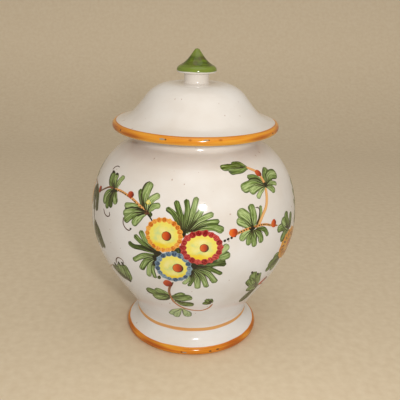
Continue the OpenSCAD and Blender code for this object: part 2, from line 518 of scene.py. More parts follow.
GLAZE = rgb(240, 233, 224)
GLAZE_WARM = rgb(229, 218, 205)
# The foot's white is painted lighter than the jar's: a lit copy of the same glaze, standing in for the
# light on the foot.
FOOT_GLAZE_LIT = rgb(247, 242, 236)
FOOT_GLAZE_WARM_LIT = rgb(237, 228, 217)
SPECK = rgb(176, 138, 112)
CLAY = rgb(205, 166, 128)
CLAY_DARK = rgb(172, 128, 92)
BAND_DEEP = rgb(198, 90, 18)
BAND = rgb(229, 137, 28)
BAND_YELLOW = rgb(240, 178, 58)
BAND_BROWN = rgb(172, 78, 18)
CHIP = rgb(168, 150, 126)
BURN = rgb(112, 62, 32)


def white_ground(tree, at, warm=GLAZE_WARM, white=GLAZE):
    """Warm white glaze: cloudy, with a few specks."""
    cloud = noise(tree, at.place, 22.0, 4.0)
    ground = ramp(tree, cloud, (0.32, warm), (0.68, white))
    specks = times(tree, speckle(tree, at, 13.0, 0.8, 0.45), 0.6)
    return mix(tree, specks, ground, SPECK)


def throwing_rings(tree, at, shader, depth):
    """Faint rings that the potter's fingers left, and a little unevenness in the gloss."""
    drift = times(tree, at.turn, 0.6)
    climb = joined(tree, 0.0, 0.0, plus(tree, at.z, drift))
    rings = noise(tree, climb, 0.22, 3.0)
    bump = node(tree, "ShaderNodeBump", {"Height": rings, "Strength": 0.25, "Distance": depth * MM})
    tree.links.new(bump.outputs[0], shader.inputs["Normal"])
    gloss = noise(tree, at.place, 60.0)
    worn = node(tree, "ShaderNodeMapRange", {"Value": gloss, "To Min": 0.07, "To Max": 0.2})
    tree.links.new(worn.outputs[0], shader.inputs["Roughness"])


def swayed(tree, at, measure, scale, reach):
    """A measure of the surface made uneven, as a brush held by hand leaves it."""
    sway = minus(tree, noise(tree, at.place, scale), 0.5)
    return plus(tree, measure, times(tree, sway, reach))


def band_colour(tree, at, yellow):
    """Orange brushed on while the wheel turns, thinner and yellower where the brush left it."""
    streak = at.streaks(tree, 0.45, 1.9)
    orange = ramp(tree, streak, (0.3, BAND_DEEP), (0.5, BAND), (0.8, BAND_YELLOW))
    return mix(tree, yellow, orange, BAND_YELLOW)


def marks(tree, at, r, spots, fade=0.8):
    """Marks on a band: each spot gives its angle, height, half width and half height, and fade is
    the share of these where the mark is still full."""
    found = None
    for angle, z, wide, high in spots:
        across = times(tree, minus(tree, at.turn, math.radians(angle)), r / wide)
        up = calc(tree, "DIVIDE", minus(tree, at.z, z), high)
        mark = step_between(tree, length_of(tree, across, up), 1.1, fade)
        found = mark if found is None else larger(tree, found, mark)
    return found


def worn_band(tree, at, colour, r, laps_and_shade, burns, chips):
    """A band with brown laps of the brush and, at its sides, painted shade in the same brown, then burnt
    spots and chips.
    """
    lapped_and_shaded = times(tree, marks(tree, at, r, laps_and_shade, fade=0.2), 0.7)
    colour = mix(tree, lapped_and_shaded, colour, BAND_BROWN)
    colour = mix(tree, marks(tree, at, r, burns), colour, BURN)
    return mix(tree, marks(tree, at, r, chips), colour, CHIP)


def biscuit(tree, at):
    grain = noise(tree, at.place, 900.0, 3.0)
    return ramp(tree, grain, (0.3, CLAY_DARK), (0.7, CLAY))


def jar_glaze():
    finish, tree, shader = new_finish("jar_white_glaze", 0.12)
    at = Wheel(tree)
    ragged = times(tree, noise(tree, at.place, 300.0), 0.5)
    top = step_between(tree, plus(tree, at.z, ragged), rim_z - 0.15, rim_z + 0.05)
    colour = mix(tree, top, white_ground(tree, at), biscuit(tree, at))
    colour_with(tree, shader, colour)
    throwing_rings(tree, at, shader, 0.5)
    return finish


FOOT_LINE_Z = 24.0
FOOT_LINE_HALF = 1.6
FOOT_LINE = rgb(220, 158, 90)
FOOT_BAND_TOP = 8.5
# Brown marks on the foot's band: the wide ones at the sides of the front, 36 to 74 degrees either way, are
# painted shade where the band turns from the light; the one at the back is a lap of the brush.
FOOT_LAPS_AND_SIDE_SHADE = ((-70.0, 5.0, 24.0, 4.2), (-36.0, 5.0, 24.0, 4.2), (40.0, 5.0, 22.0, 4.2),
             (74.0, 5.0, 20.0, 4.2), (168.0, 5.0, 18.0, 4.2))
FOOT_BURNS = ((16.5, 4.6, 1.5, 0.9), (23.0, 5.2, 1.8, 0.8), (-152.0, 4.8, 1.6, 0.9),
              (-7.2, 4.4, 1.2, 0.8))
FOOT_CHIPS = ((-4.8, 4.2, 2.4, 0.7), (110.0, 4.6, 2.2, 0.8))


def foot_glaze():
    finish, tree, shader = new_finish("foot_white_glaze", 0.12)
    at = Wheel(tree)
    z = swayed(tree, at, at.z, 35.0, 1.2)
    colour = white_ground(tree, at, FOOT_GLAZE_WARM_LIT, FOOT_GLAZE_LIT)
    line_gap = calc(tree, "ABSOLUTE", minus(tree, z, FOOT_LINE_Z))
    line = times(tree, step_between(tree, line_gap, FOOT_LINE_HALF + 0.5, FOOT_LINE_HALF), 0.92)
    colour = mix(tree, line, colour, mix(tree, 0.45, band_colour(tree, at, 0.3), FOOT_LINE))
    band = step_between(tree, z, FOOT_BAND_TOP + 0.4, FOOT_BAND_TOP)
    low_edge = step_between(tree, at.z, 2.4, 0.9)
    colour = mix(tree, band, colour, band_colour(tree, at, times(tree, low_edge, 0.5)))
    colour = worn_band(tree, at, colour, foot_r, FOOT_LAPS_AND_SIDE_SHADE, FOOT_BURNS, FOOT_CHIPS)
    standing = step_between(tree, at.z, 0.5, 0.2)
    colour = mix(tree, standing, colour, biscuit(tree, at))
    colour_with(tree, shader, colour)
    throwing_rings(tree, at, shader, 0.4)
    return finish


lid_mid_z = lid_low_z + LID_ROLL
# Brown marks on the lid's band: the wide ones at the sides of the front, 46 to 74 degrees either way, are
# painted shade where the band turns from the light; the small ones near the front and the one at the back
# are laps of the brush.
LID_LAPS_AND_SIDE_SHADE = ((-70.0, lid_mid_z + 0.5, 22.0, 4.2), (-46.0, lid_mid_z - 0.5, 22.0, 3.2),
            (46.0, lid_mid_z - 0.5, 20.0, 3.2), (74.0, lid_mid_z + 0.5, 18.0, 4.2),
            (160.0, lid_mid_z + 0.5, 18.0, 3.6), (-3.0, lid_mid_z + 1.9, 2.2, 1.3),
            (15.6, lid_mid_z + 1.9, 2.6, 1.3))
LID_BURNS = ((-57.0, lid_mid_z + 1.2, 1.2, 0.9), (61.0, lid_mid_z + 0.2, 1.3, 0.9),
             (73.0, lid_mid_z, 1.6, 1.2), (-18.2, lid_mid_z + 1.2, 0.9, 0.8),
             (8.4, lid_mid_z + 2.1, 0.8, 0.5), (128.0, lid_mid_z, 1.5, 0.8))
LID_CHIPS = ((-20.5, lid_mid_z + 1.3, 2.8, 0.9), (6.6, lid_mid_z + 2.1, 2.4, 0.6),
             (-140.0, lid_mid_z, 2.2, 0.8))


def lid_glaze():
    finish, tree, shader = new_finish("lid_white_glaze", 0.12)
    at = Wheel(tree)
    r = swayed(tree, at, at.r, 30.0, 0.9)
    edge_r = lid_r - LID_ROLL
    upper = step_between(tree, r, edge_r - 0.3, edge_r + 0.2)
    under = times(tree, step_between(tree, at.z, lid_low_z + 3.2, lid_low_z + 2.8),
                  step_between(tree, at.r, lid_r - 8.0, lid_r - 7.0))
    band = larger(tree, upper, under)
    low_edge = step_between(tree, at.z, lid_low_z + 3.0, lid_low_z + 1.0)
    thin = plus(tree, times(tree, low_edge, 0.65), 0.2)
    upper_edge = times(tree, step_between(tree, r, edge_r + 1.5, edge_r + 0.6), 0.4)
    orange = mix(tree, upper_edge, band_colour(tree, at, thin), BAND_BROWN)
    colour = mix(tree, band, white_ground(tree, at), orange)
    colour = worn_band(tree, at, colour, lid_r, LID_LAPS_AND_SIDE_SHADE, LID_BURNS, LID_CHIPS)
    seat = times(tree, step_between(tree, at.z, rim_z + 0.15, rim_z + 0.05),
                 step_between(tree, at.r, SEAT_R + 1.5, SEAT_R + 0.5))
    colour = mix(tree, seat, colour, biscuit(tree, at))
    colour_with(tree, shader, colour)
    throwing_rings(tree, at, shader, 0.5)
    return finish


def knob_glaze():
    finish, tree, shader = new_finish("knob_green_glaze", 0.14)
    at = Wheel(tree)
    streak = plus(tree, times(tree, at.streaks(tree, 0.35, 1.2), 0.6),
                  times(tree, noise(tree, at.place, 130.0, 3.0), 0.4))
    green = ramp(tree, streak, (0.3, rgb(50, 54, 4)), (0.5, rgb(77, 97, 10)), (0.72, rgb(114, 138, 26)))
    thick = times(tree, step_between(tree, noise(tree, at.place, 85.0), 0.48, 0.66), 0.6)
    green = mix(tree, thick, green, rgb(88, 72, 32))
    edge_z = crown_z + STEM_H + KNOB_EDGE
    # Lighter green towards the lower edge: partly green run thin over the edge, partly a painted highlight.
    low = times(tree, step_between(tree, at.z, edge_z + 6.5, edge_z + 3.0), 0.6)
    green = mix(tree, low, green, rgb(138, 158, 62))
    # Lighter green towards the tip: a painted highlight.
    tip = times(tree, step_between(tree, at.z, edge_z + 12.0, edge_z + 15.0), 0.5)
    green = mix(tree, tip, green, rgb(142, 156, 72))
    z = swayed(tree, at, at.z, 60.0, 0.9)
    green_from = crown_z + STEM_H + 1.7
    covered = step_between(tree, z, green_from - 0.4, green_from + 0.4)
    colour = mix(tree, covered, white_ground(tree, at), green)
    colour_with(tree, shader, colour)
    throwing_rings(tree, at, shader, 0.3)
    return finish


def ring_clay():
    finish, tree, shader = new_finish("ring_bare_clay", 0.75)
    at = Wheel(tree)
    colour_with(tree, shader, biscuit(tree, at))
    grain = noise(tree, at.place, 700.0, 3.0)
    bump = node(tree, "ShaderNodeBump", {"Height": grain, "Strength": 0.4, "Distance": 0.15 * MM})
    tree.links.new(bump.outputs[0], shader.inputs["Normal"])
    return finish


def stroke_place(tree):
    """How far along and across its stroke a point lies, and the stroke's own tint."""
    u, v, _ = parted(tree, node(tree, "ShaderNodeUVMap", uv_map="UVMap").outputs[0])
    return u, v, node(tree, "ShaderNodeAttribute", attribute_name="tint").outputs["Fac"]


def from_middle(tree, u, v):
    """How far a point of a round dab lies from its middle: 0.5 is its edge."""
    return length_of(tree, minus(tree, u, 0.5), minus(tree, v, 0.5))


STREAK_RUN = 2.5
STREAK_COUNT = 7.0


def brushed(name, dark, body, light, edge=0.5, pool=0.0, vary=0.5, dab=False):
    """Colour laid on with a loaded brush: streaks along the stroke, more colour at its edges, most
    on one side, and as much again at its end as pool says. Each stroke has its own tint. A dab is
    thin and pale all round."""
    finish, tree, shader = new_finish(name, 0.13)
    u, v, tint = stroke_place(tree)
    shift = times(tree, tint, 37.0)
    vector = joined(tree, plus(tree, times(tree, u, STREAK_RUN), shift),
                    plus(tree, times(tree, v, STREAK_COUNT), shift), shift)
    streak = noise(tree, vector, 1.0, 3.0)
    tone = plus(tree, streak, times(tree, minus(tree, tint, 0.5), vary))
    colour = ramp(tree, tone, (0.27, dark), (0.47, body), (0.68, light))
    if dab:
        around = step_between(tree, from_middle(tree, u, v), 0.34, 0.5)
    else:
        slight = times(tree, step_between(tree, v, 0.24, 0.03), 0.75)
        around = larger(tree, step_between(tree, v, 0.7, 0.97), slight)
    rim = times(tree, around, edge)
    pooled = times(tree, step_between(tree, u, 0.84, 0.98), pool)
    edged = mix(tree, larger(tree, rim, pooled), colour, light if dab else dark)
    colour_with(tree, shader, edged)
    return finish


def disc_colour(name, thinnest, body, pale, rich, full):
    """Flower middles: paler where the colour ran thin, fuller near the petals, fullest below."""
    finish, tree, shader = new_finish(name, 0.13)
    u, v, tint = stroke_place(tree)
    shift = times(tree, tint, 23.0)
    vector = joined(tree, plus(tree, u, shift), v, shift)
    patch = noise(tree, vector, 3.2, 3.0)
    thin = ramp(tree, patch, (0.36, thinnest), (0.5, body), (0.66, pale))
    pool = plus(tree, v, times(tree, patch, 0.5))
    ragged = plus(tree, from_middle(tree, u, v), times(tree, patch, 0.2))
    ground = mix(tree, times(tree, step_between(tree, ragged, 0.34, 0.52), 0.8), thin, rich)
    strong = step_between(tree, pool, 0.52, 0.34)
    colour_with(tree, shader, mix(tree, strong, ground, full))
    return finish


def core_colour():
    """Orange-red dots with a darker right side."""
    finish, tree, shader = new_finish("flower_red", 0.13)
    u, _, tint = stroke_place(tree)
    place = node(tree, "ShaderNodeTexCoord").outputs["Object"]
    side = plus(tree, u, times(tree, noise(tree, place, 400.0), 0.25))
    red = ramp(tree, side, (0.3, rgb(188, 74, 36)), (0.65, rgb(168, 52, 28)), (1.0, rgb(104, 32, 20)))
    orange = ramp(tree, side, (0.3, rgb(238, 122, 38)), (0.65, rgb(222, 84, 26)), (1.0, rgb(160, 56, 20)))
    colour_with(tree, shader, mix(tree, tint, red, orange))
    return finish


# Brush strokes, drawn flat and then laid on the wall

def run_along(path):
    """How far along the path each of its points lies."""
    return np.concatenate(([0.0], np.cumsum(np.linalg.norm(np.diff(path, axis=0), axis=1))))


wall_path = jar_outside()
wall_length = run_along(wall_path)
SINK = -0.25


def length_at(z):
    return np.interp(z, wall_path[:, 1], wall_length)


def radius_at(z):
    return np.interp(z, wall_path[:, 1], wall_path[:, 0])


def seen_from(place, spot):
    """A spot on the wall, as millimetres across and up from another."""
    across = math.radians(spot[0] - place[0]) * radius_at(spot[1])
    return np.array((across, length_at(spot[1]) - length_at(place[1])))


class Hand:
    """How far round the jar the painter stands, and whether the group is painted left for right."""

    turn = 0.0
    mirror = 1


def turned(spot):
    return (Hand.turn + Hand.mirror * spot[0], spot[1])


class Paint:
    """Strokes in one colour. Each is a thin closed shell, a little sunk into the glaze."""

    def __init__(self):
        self.points = []
        self.faces = []
        self.maps = []
        self.places = []
        self.tints = []

    def lay(self, place, flat, faces, uv, lift, tint):
        first = len(self.points)
        count = len(flat)
        angle, z = turned(place)
        if Hand.mirror < 0:
            faces = [f[::-1] for f in faces]
        edges = {(f[i], f[(i + 1) % len(f)]) for f in faces for i in range(len(f))}
        sides = [(a + count, b + count, b, a) for a, b in edges if (b, a) not in edges]
        shell = [*faces, *(tuple(i + count for i in f[::-1]) for f in faces), *sorted(sides)]
        self.faces += [tuple(first + i for i in f) for f in shell]
        for height in (lift, SINK):
            self.points += [(Hand.mirror * x * MM, y * MM, height * MM) for x, y in flat]
            self.maps += [tuple(p) for p in uv]
        self.places += [(math.radians(angle), length_at(z) * MM)] * (2 * count)
        self.tints += [tint] * (2 * count)

    def flat_object(self, name, tinted=True):
        obj = new_object(name, self.points, faces=self.faces)
        mesh = obj.data
        corner = np.zeros(len(mesh.loops), int)
        mesh.loops.foreach_get("vertex_index", corner)
        layer = mesh.uv_layers.new(name="UVMap")
        layer.uv.foreach_set("vector", np.array(self.maps, float)[corner].ravel())
        columns = np.array(self.places, float).T
        values = {"place_turn": columns[0], "place_length": columns[1]}
        if tinted:
            values["tint"] = np.array(self.tints, float)
        for label, numbers in values.items():
            mesh.attributes.new(label, "FLOAT", "POINT").data.foreach_set("value", numbers)
        return obj


leaves = Paint()
lines = Paint()
stems = Paint()
dots = Paint()
discs = Paint()
amber = Paint()
tendrils = Paint()
chance = np.random.default_rng(11)

THINNEST_HALF = 0.02
LEAF_LIFT = 0.08
FINGER_LIFT = 0.02
STEM_LIFT = 0.15
LINE_LIFT = 0.17
DAB_LIFT = LINE_LIFT + 0.02
DISC_LIFT = 0.21
RIM_LIFT = 0.23
PETAL_LIFT = 0.25
DOT_LIFT = 0.29
CORE_EDGE_LIFT = DOT_LIFT + 0.03


def stroke(paint, place, path, half, lift, tint, across=4):
    """A stroke along a flat path, as wide on each side as half says."""
    along = np.gradient(path, axis=0)
    along /= np.maximum(np.linalg.norm(along, axis=1), 1e-9)[:, None]
    left = np.column_stack((-along[:, 1], along[:, 0]))
    side = np.linspace(-1, 1, across + 1)
    flat = path[:, None, :] + side[None, :, None] * (half[:, None] * left)[:, None, :]
    rows = len(path)
    columns = across + 1
    u, v = np.meshgrid(np.linspace(0, 1, rows), np.linspace(0, 1, columns), indexing="ij")
    faces = [(i * columns + j, (i + 1) * columns + j, (i + 1) * columns + j + 1, i * columns + j + 1)
             for i in range(rows - 1) for j in range(across)]
    uv = np.column_stack((u.ravel(), v.ravel()))
    paint.lay(place, flat.reshape(-1, 2), faces, uv, lift, tint)


def smooth_through(knots, values, at):
    """A curve through the values, with a slope at each from its two neighbours."""
    slope = np.gradient(values, knots)
    i = np.clip(np.searchsorted(knots, at, side="right") - 1, 0, len(knots) - 2)
    h = knots[i + 1] - knots[i]
    t = (at - knots[i]) / h
    return ((2 * t**3 - 3 * t**2 + 1) * values[i] + (t**3 - 2 * t**2 + t) * h * slope[i]
            + (3 * t**2 - 2 * t**3) * values[i + 1] + (t**3 - t**2) * h * slope[i + 1])


ROW_STEP = 1.1


def path_through(place, spots, rows=None):
    """A smooth flat path through spots on the wall, seen from a place, and its length."""
    knots = np.array([seen_from(place, spot) for spot in spots])
    gap = run_along(knots)
    even = np.linspace(0, gap[-1], rows or max(10, int(gap[-1] / ROW_STEP)))
    return np.column_stack([smooth_through(gap, knots[:, k], even) for k in (0, 1)]), gap[-1]


def fine_line(place, path, width):
    """A thin dark line that starts full and runs out to a point."""
    t = np.linspace(0, 1, len(path))
    half = width / 2 * np.minimum(1, (1 - t) * 2.2) * np.minimum(1, 0.5 + t * 6)
    stroke(lines, place, path, np.maximum(half, THINNEST_HALF), LINE_LIFT, chance.random(), across=2)


def leaf(fingers, narrow=0.45, full=0.5, reach=0.65, line=0.9, veins=1):
    """A leaf of brushed fingers, with dark lines between and along them. Each finger gives the spots
    it runs through, its width and its tone: 0 is dark and 1 is pale."""
    place = fingers[0][0][0]
    rows = 24
    paths = []
    for number, (spots, width, tone) in enumerate(fingers):
        path, long = path_through(place, spots, rows=rows)
        paths.append(path)
        t = np.linspace(0, 1, rows)
        grow = np.clip(t / full, 0, 1)
        half = width / 2 * (narrow + (1 - narrow) * grow**2 * (3 - 2 * grow))
        half *= 1 + 0.05 * np.sin(9 * t + 40 * tone)
        cap = np.clip((1 - t) * long / (0.5 * width), 0, 1)
        half = np.maximum(half * np.sqrt(1 - (1 - cap) ** 2), THINNEST_HALF)
        own = np.clip(tone + 0.16 * (chance.random() - 0.5), 0, 1)
        stroke(leaves, place, path, half, LEAF_LIFT + FINGER_LIFT * (number % 4), own)
    used = max(6, int(rows * reach))
    for one, other in zip(paths, paths[1:]):
        fine_line(place, ((one + other) / 2)[:used], line)
    for path, (_, width, _) in zip(paths, fingers):
        along = path[-1] - path[0]
        side = np.array((-along[1], along[0])) / np.linalg.norm(along) * width * 0.2
        for k in range(veins):
            lean = (k - (veins - 1) / 2) * 1.5
            shift = np.linspace(0, lean, used)[:, None] * side
            fine_line(place, path[:used] + shift, line * 0.6)


FAN_LEAN = 0.35
BOUQUET_LEAF = {"narrow": 0.4, "full": 0.6, "reach": 0.72, "veins": 2}
HANGING_LEAF = {"narrow": 0.3}


def fan(place, tips, tone, kind=BOUQUET_LEAF):
    """A leaf whose fingers all spread from one place, each to a tip that gives its spot and width."""
    middle = np.mean([tip[:2] for tip in tips], axis=0)
    fingers = []
    for angle, z, width in tips:
        tip = np.array((angle, z))
        bend = (np.array(place) + tip) / 2 + FAN_LEAN * 0.25 * (middle - tip)
        fingers.append(([place, tuple(bend), (angle, z)], width, tone + 0.3 * (chance.random() - 0.5)))
    leaf(fingers, **kind)


def trail(paint, spots, width, lift=STEM_LIFT, taper=0.5, tint=None):
    """A smooth line through spots on the wall."""
    place = spots[0]
    path, _ = path_through(place, spots)
    t = np.linspace(0, 1, len(path))
    half = width / 2 * (1 - taper * t) * np.sqrt(np.clip(np.minimum(t, 1 - t) * 14 + 0.1, 0, 1))
    stroke(paint, place, path, half, lift, chance.random() if tint is None else tint)
    return place, path


def vein(spots, width):
    trail(lines, spots, width, LINE_LIFT, taper=0.5)


def dashes(place, path, every, long, width, side=0.0):
    """Short dark dabs along a stem."""
    gap = run_along(path)
    for start in np.arange(every * 0.4, gap[-1] - long, every):
        run = np.linspace(start, start + long * (0.7 + 0.6 * chance.random()), 5)
        bit = np.column_stack([np.interp(run, gap, path[:, k]) for k in (0, 1)])
        along = (bit[-1] - bit[0]) / max(np.linalg.norm(bit[-1] - bit[0]), 1e-6)
        bit = bit + side * np.array((-along[1], along[0]))
        half = width / 2 * np.sqrt((0.15, 0.8, 1.0, 0.8, 0.15))
        stroke(lines, place, bit, half, DAB_LIFT, chance.random())


def round_dab(paint, place, half_wide, half_high, lift, tint, tilt=0.0, wave=0.0, rings=3, spokes=20):
    """A filled round dab, its edge a little wavy."""
    turn = np.linspace(0, 2 * math.pi, spokes, endpoint=False)
    edge = 1 + wave * (np.sin(3 * turn + 7 * tint) + 0.6 * np.sin(5 * turn + 11 * tint))
    flat = [(0.0, 0.0)]
    uv = [(0.5, 0.5)]
    for k in range(1, rings + 1):
        x = k / rings * edge * np.cos(turn)
        y = k / rings * edge * np.sin(turn)
        uv += list(zip(0.5 + 0.5 * x, 0.5 + 0.5 * y))
        c, s = math.cos(math.radians(tilt)), math.sin(math.radians(tilt))
        flat += list(zip(c * half_wide * x - s * half_high * y, s * half_wide * x + c * half_high * y))
    faces = [(0, 1 + i, 1 + (i + 1) % spokes) for i in range(spokes)]
    for k in range(rings - 1):
        inner, outer = 1 + k * spokes, 1 + (k + 1) * spokes
        faces += [(inner + i, outer + i, outer + (i + 1) % spokes, inner + (i + 1) % spokes)
                  for i in range(spokes)]
    paint.lay(place, flat, faces, uv, lift, tint)


def berry(spot, half_wide, half_high, tilt=0.0, tint=0.5):
    round_dab(dots, spot, half_wide, half_high, DOT_LIFT, tint, tilt, wave=0.03)


# The painting

flower_rims = []
rim_grounds = {"orange": Paint(), "crimson": Paint(), "blue": Paint(), "ochre": Paint()}


def flower(spot, half_wide, half_high, middle, rim, seed, core=(0.6, 0.3), core_r=4.2, disc=discs):
    """A round flower: yellow middle, ring of petal dabs and a red core with a dark edge, which is
    widest at its right."""
    round_dab(disc, spot, half_wide * middle + 0.8, half_high * middle + 0.8, DISC_LIFT,
              chance.random(), wave=0.015, rings=6, spokes=40)
    between = 1 - 0.43 * (1 - middle)
    lap = np.linspace(0, 2 * math.pi, 61)
    ring_path = np.column_stack((half_wide * between * np.cos(lap), half_high * between * np.sin(lap)))
    thick = np.full(len(lap), 0.35 * (1 - middle) * (half_wide + half_high) / 2)
    stroke(rim_grounds[rim], spot, ring_path, thick, RIM_LIFT, 0.5)
    flower_rims.append((turned(spot), half_wide, half_high, middle, rim, seed))
    core_spot = (spot[0] + core[0], spot[1] + core[1])
    round_dab(dots, core_spot, core_r, core_r, DOT_LIFT, 0.6, wave=0.03)
    sweep = np.radians(np.linspace(80, -280, 37))
    edge = core_r * 0.97 * np.column_stack((np.cos(sweep), np.sin(sweep)))
    fullness = 0.16 + 0.5 * np.maximum(0, np.cos(sweep + math.radians(20)))
    stroke(tendrils, core_spot, edge, fullness, CORE_EDGE_LIFT, 0.1)


def dark_dab(spot, half_wide, half_high, tilt=0.0):
    round_dab(lines, spot, half_wide, half_high, DAB_LIFT, 0.2 * chance.random(), tilt, wave=0.1,
              rings=2, spokes=14)


def front_bouquet():
    leaf([([(-5.5, 150), (-7.5, 161), (-10, 167), (-14, 171)], 5.2, 0.4),
          ([(-5, 150), (-6, 163.5), (-7.6, 171), (-9.3, 178)], 5.2, 0.35),
          ([(-4.5, 150), (-3.5, 162.5), (-3, 171.5), (-4, 179.5)], 5.0, 0.4),
          ([(-4, 150), (-1.5, 161.5), (-0.2, 170), (1.6, 181.5)], 5.4, 0.7),
          ([(-3, 150.5), (0.5, 161.5), (3.2, 168.5), (5.8, 176)], 5.6, 0.7),
          ([(-2.5, 151.5), (2, 161), (6.2, 165), (10.2, 167.6)], 5.4, 0.66),
          ([(-1.5, 152), (4, 158.5), (8, 160.3), (13, 160.5)], 5.0, 0.6),
          ([(-0.5, 152), (5.5, 156), (9.8, 156), (15, 152)], 6.8, 0.6)], reach=0.72, veins=2)
    leaf([([(-17, 129.5), (-24, 140), (-26.8, 148)], 5.4, 0.6),
          ([(-17, 129), (-25.5, 136.5), (-30.2, 142.3)], 5.0, 0.45),
          ([(-17, 128.5), (-25.5, 131.5), (-31, 131.3), (-33.8, 134)], 5.0, 0.25)], veins=2)
    leaf([([(-17, 127), (-24.5, 124), (-31.7, 115.5)], 5.6, 0.55),
          ([(-17, 126), (-23, 119.5), (-27.7, 107)], 6.0, 0.5),
          ([(-17, 125), (-21.7, 114.5), (-23.6, 100.5)], 5.0, 0.65),
          ([(-17, 124), (-20.3, 112.5), (-19.8, 100)], 4.0, 0.5)], veins=2)
    leaf([([(6, 121), (12, 125.5), (18.6, 130)], 8.2, 0.6),
          ([(0.5, 119), (7.5, 119.5), (13, 120.5), (17, 119.5)], 5.2, 0.3),
          ([(0.5, 118), (8, 116), (15.5, 108.5)], 4.6, 0.4),
          ([(0.5, 117), (7, 112), (12.9, 98.3)], 6.2, 0.6),
          ([(0.5, 116), (5, 107), (8.3, 92.5)], 5.4, 0.55),
          ([(0, 115), (2.5, 103.5), (3.2, 91)], 6.0, 0.7),
          ([(-0.5, 115), (0, 103), (-1.7, 94.5)], 4.0, 0.4),
          ([(-0.5, 114), (-2, 103), (-4.8, 97)], 4.2, 0.8)], reach=0.72, veins=2)
    leaf([([(8, 126), (12, 123.5), (16.5, 122)], 4.6, 0.3),
          ([(10, 131), (15, 135), (17.6, 139)], 7.4, 0.9)])
    leaf([([(-17, 104.5), (-18, 100)], 3.4, 0.1)], veins=0)
    round_dab(leaves, (-6.8, 134), 6.0, 5.0, LEAF_LIFT, 0.0, wave=0.1)
    round_dab(leaves, (2.5, 120.5), 6.0, 3.0, LEAF_LIFT, 0.0, wave=0.1)
    for dab in (((-9.3, 132.5), 2.0, 1.6), ((-5.5, 134), 2.2, 2.2), ((-4.2, 130.5), 2.0, 1.8),
                ((-17.2, 129.2), 4.2, 2.8), ((-18.6, 124), 2.4, 3.2), ((-19.3, 117.5), 1.3, 2.6),
                ((1.0, 119), 3.4, 3.2), ((0.2, 111.5), 1.5, 2.6), ((-4.5, 149.5), 1.8, 3.0)):
        dark_dab(*dab)
    flower((-14.3, 147.1), 17.4, 15.8, 0.76, "orange", 3, core=(1.4, -0.4))
    flower((4.3, 137.2), 19.5, 16.3, 0.7, "crimson", 5, core=(1.1, 0.0), core_r=3.8)
    flower((-9.5, 116.0), 17.0, 16.6, 0.74, "blue", 8, core=(2.3, 0.0), core_r=4.7)


def left_branch():
    leaf([([(-24.5, 165), (-27.5, 172.5), (-30.5, 183)], 5.6, 0.5),
          ([(-24.5, 165), (-26.7, 175.5), (-25.2, 189.7)], 8.8, 0.72),
          ([(-24, 165), (-22.5, 176), (-18.2, 181)], 6.6, 0.72),
          ([(-23.5, 165), (-21, 170.5), (-17, 172.4)], 5.8, 0.75)], narrow=0.55, full=0.4)
    leaf([([(-24, 164.5), (-20.8, 163)], 4.4, 0.1)], veins=0)
    leaf([([(-25, 166), (-32, 168), (-38.4, 166)], 5.6, 0.62),
          ([(-24.5, 165.5), (-32, 163), (-38.3, 158.3)], 7.6, 0.7),
          ([(-24.5, 164.5), (-32, 160), (-37, 152.3)], 6.6, 0.62),
          ([(-24.5, 164), (-28, 159.5), (-31.4, 150.8)], 7.4, 0.7)],
         narrow=0.5, full=0.45, veins=0, line=1.5)
    vein([(-26.8, 169), (-28.5, 177), (-29.2, 183), (-28.3, 187.7), (-26, 190)], 1.7)
    vein([(-25.5, 171), (-26, 177.5), (-26, 180.5)], 0.8)
    vein([(-25.5, 166), (-30, 167.2), (-35.5, 164.8), (-37.8, 163)], 1.5)
    round_dab(discs, (-24, 173.5), 2.4, 2.0, LINE_LIFT, 0.4, wave=0.1)
    round_dab(tendrils, (-24, 164.7), 2.6, 2.2, LINE_LIFT, 0.3, wave=0.1)
    vein([(-23.5, 164), (-21.5, 160.5), (-20, 157)], 1.8)
    place, path = trail(stems, [(-25.3, 166.3), (-30, 170.5), (-34, 173.5), (-38.5, 175.5), (-43, 176.7),
                                (-48.5, 176.7)], 2.5, taper=0.1, tint=0.6)
    dashes(place, path, 3.4, 2.2, 1.0, side=0.5)
    trail(tendrils, [(-48.5, 176.5), (-54, 176), (-58, 173), (-62, 169), (-64, 167)], 2.2, tint=0.4)
    berry((-64.3, 169), 3.2, 3.4, tint=0.0)
    berry((-35.7, 176.5), 3.4, 3.1, tint=0.15)
    trail(tendrils, [(-37.7, 155.5), (-37.5, 150), (-35.5, 146), (-33.3, 145.2), (-32.4, 146.6)], 0.9,
          taper=-0.2, tint=0.1)
    dark_dab((-32.5, 147), 1.1, 0.9)
    leaf([([(-49.5, 176.5), (-55, 181.5), (-57.3, 189)], 8.6, 0.35),
          ([(-49, 177), (-52, 183), (-52.5, 189)], 7.2, 0.5),
          ([(-47.5, 177.5), (-47.5, 183.5), (-45.3, 189)], 5.8, 0.75)], full=0.4, line=1.2)
    dark_dab((-57.4, 188.4), 2.6, 1.5)
    dark_dab((-52.6, 188.2), 2.2, 1.3)
    leaf([([(-49.5, 176), (-55.5, 167), (-55, 159.5)], 7.2, 0.5),
          ([(-49, 176), (-52, 166), (-52, 156.5)], 6.4, 0.35),
          ([(-48.5, 176), (-49.5, 167), (-48.5, 159)], 6.0, 0.35),
          ([(-47.5, 176), (-46.5, 169.5), (-44.8, 164)], 6.4, 0.5)], reach=0.75, line=1.3)
    dark_dab((-48.5, 175.3), 4.2, 1.3)
    trail(tendrils, [(-60, 189.5), (-59.5, 191.5), (-57.5, 193.5), (-54, 193.7)], 1.2, tint=0.1)
    trail(tendrils, [(-55, 155), (-53, 151), (-50.5, 150), (-48.5, 152), (-49, 155)], 0.9,
          taper=-0.2, tint=0.1)


